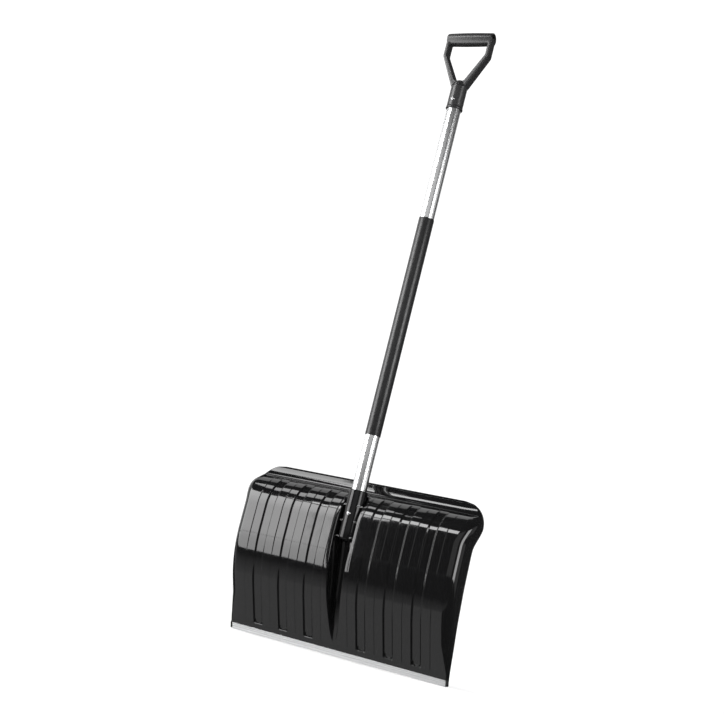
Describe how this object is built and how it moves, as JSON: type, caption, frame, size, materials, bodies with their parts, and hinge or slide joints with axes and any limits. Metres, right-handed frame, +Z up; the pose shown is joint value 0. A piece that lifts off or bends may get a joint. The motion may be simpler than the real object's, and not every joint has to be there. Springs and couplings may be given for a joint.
{
  "type": "snow shovel",
  "caption": "Snow shovel with a wide ribbed plastic scoop, a metal wear strip, a straight aluminium shaft with a thin sleeve and a D-grip.",
  "frame": {"origin": "under the middle of the whole object's box, on the ground that the cutting edge rests on", "axes": "+Z up along the shaft, +X to the right of a person who looks at the blade's back, -Y towards the user, +Y towards the snow"},
  "size_m": [0.5158, 0.0848, 1.302],
  "materials": {
    "blade_plastic": "moulded gloss black polypropylene",
    "strip_aluminium": "mill-finish extruded aluminium",
    "tube_aluminium": "satin anodised drawn tube",
    "sleeve_plastic": "satin black shrunk plastic sleeve",
    "grip_plastic": "satin charcoal moulded plastic",
    "screw_steel": "bright zinc-plated steel"
  },
  "bodies": {
    "root": {"blade": "blade_plastic", "wear_strip": "strip_aluminium", "shaft_tube": "tube_aluminium", "shaft_sleeve": "sleeve_plastic", "d_grip": "grip_plastic", "blade_screw": "screw_steel", "grip_screw": "screw_steel"}
  },
  "joints": []
}
